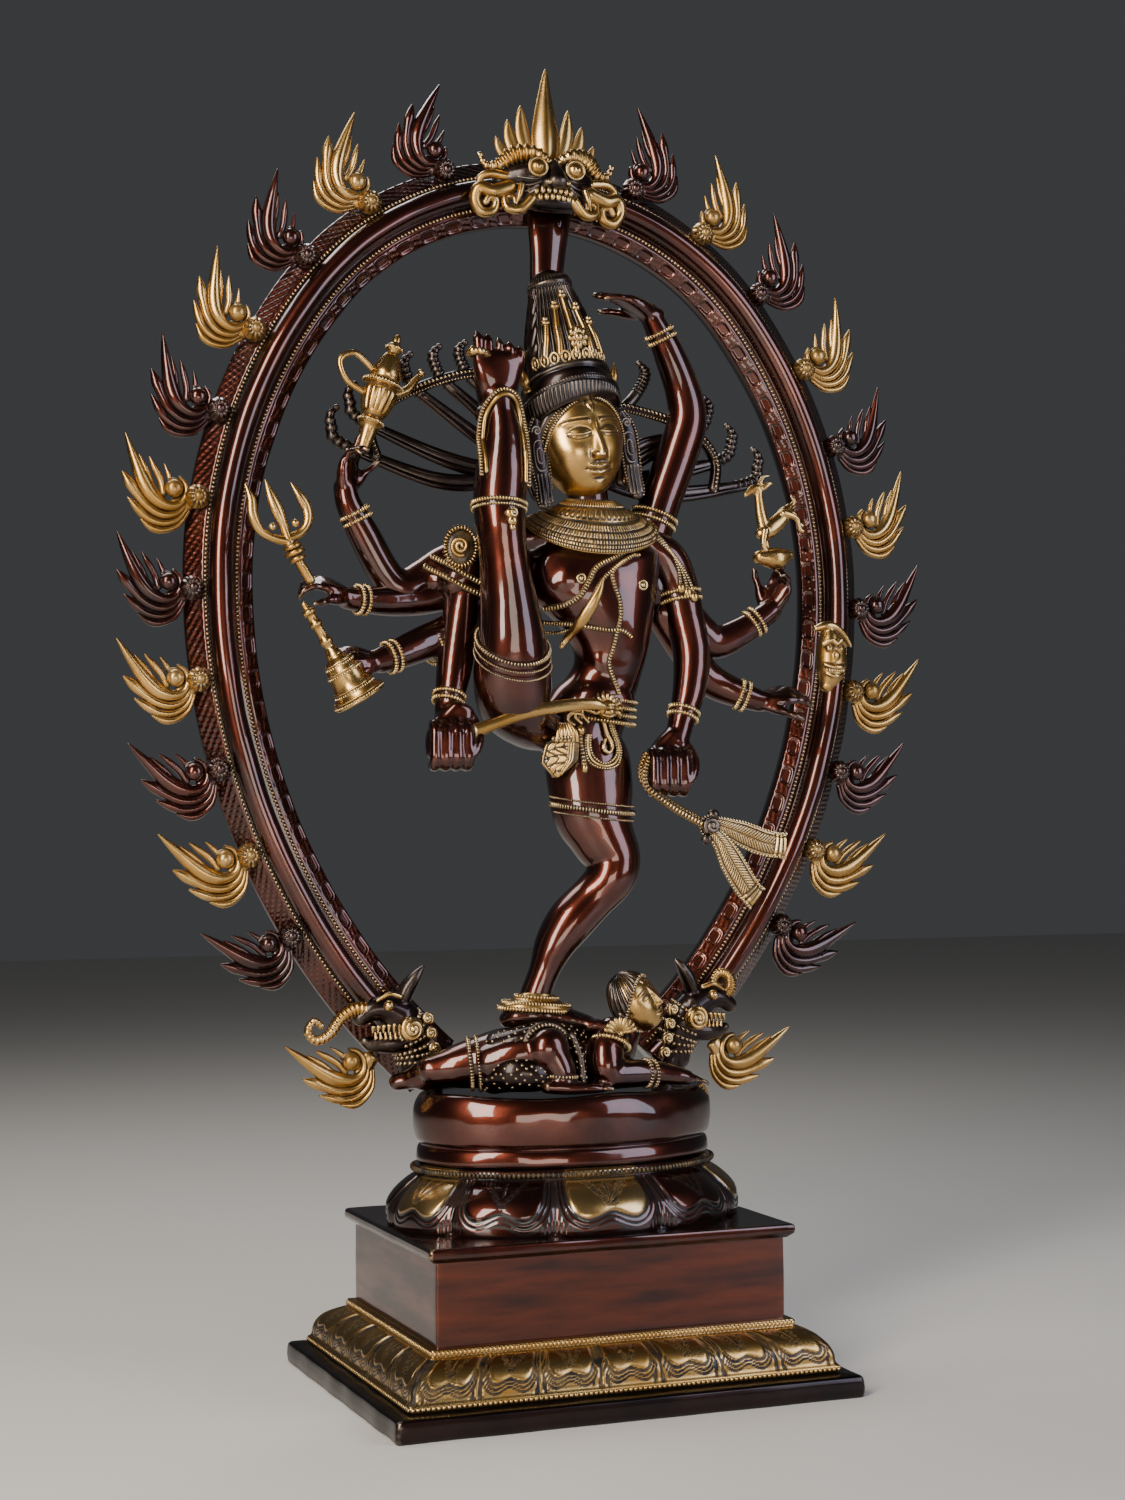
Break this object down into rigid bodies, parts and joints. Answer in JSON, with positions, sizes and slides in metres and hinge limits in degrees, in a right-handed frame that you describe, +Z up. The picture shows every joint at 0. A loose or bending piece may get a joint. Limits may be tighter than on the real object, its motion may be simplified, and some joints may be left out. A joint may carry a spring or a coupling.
{
  "type": "dancing nataraja statue",
  "caption": "Cast brass dancing figure with eight arms in a ring of flames, standing on a prone demon over an oval lotus seat and a stepped plinth.",
  "frame": {"origin": "middle of the plinth's underside, on the surface it stands on", "axes": "+Z up, the figure faces -Y, +X to the right of someone looking at its face"},
  "size_m": [0.6068, 0.26, 0.915],
  "materials": {
    "red_brown_patina": "glossy deep red-brown patina over cast brass, black in the recesses, edges worn to brass",
    "black_antique_patina": "dark black-brown antique patina over cast brass, high points rubbed bright",
    "polished_brass": "hand-polished cast brass with black wax left in the chasing",
    "steel_fixings": "plain zinc-plated screw stock"
  },
  "bodies": {
    "root": {"plinth_foot": "black_antique_patina", "plinth_moulding": "polished_brass", "plinth_box": "red_brown_patina", "plinth_cap": "red_brown_patina", "lotus_pedestal": "red_brown_patina", "pedestal_seat": "red_brown_patina", "fixing_studs": "steel_fixings", "fixing_washers": "steel_fixings", "fixing_nuts": "steel_fixings", "demon_body": "red_brown_patina", "demon_head": "polished_brass", "demon_limbs": "red_brown_patina", "standing_leg": "red_brown_patina", "raised_leg": "red_brown_patina", "torso": "red_brown_patina", "head": "polished_brass", "crown": "black_antique_patina", "ear_locks": "black_antique_patina", "hair_fan_left": "black_antique_patina", "hair_fan_right": "black_antique_patina", "arm_ewer": "red_brown_patina", "arm_trident": "red_brown_patina", "arm_bell": "red_brown_patina", "arm_sword": "red_brown_patina", "arm_overhead": "red_brown_patina", "arm_deer": "red_brown_patina", "arm_skull": "red_brown_patina", "arm_noose": "red_brown_patina", "collar": "polished_brass", "sacred_thread": "polished_brass", "waist_belt": "polished_brass", "arm_bands": "polished_brass", "leg_bands": "polished_brass", "ewer": "polished_brass", "trident": "polished_brass", "bell": "polished_brass", "bell_clapper": "polished_brass", "sword": "polished_brass", "deer": "polished_brass", "skull_cup": "polished_brass", "noose": "polished_brass", "ring_arch": "red_brown_patina", "kirtimukha": "polished_brass", "top_flame": "polished_brass", "makara_left": "black_antique_patina", "makara_right": "black_antique_patina", "makara_flames": "polished_brass", "back_strut": "red_brown_patina", "flame_pair_01": "red_brown_patina", "flame_pair_02": "polished_brass", "flame_pair_03": "red_brown_patina", "flame_pair_04": "polished_brass", "flame_pair_05": "red_brown_patina", "flame_pair_06": "polished_brass", "flame_pair_07": "red_brown_patina", "flame_pair_08": "polished_brass", "flame_pair_09": "red_brown_patina", "flame_pair_10": "polished_brass", "flame_pair_11": "red_brown_patina"}
  },
  "joints": []
}
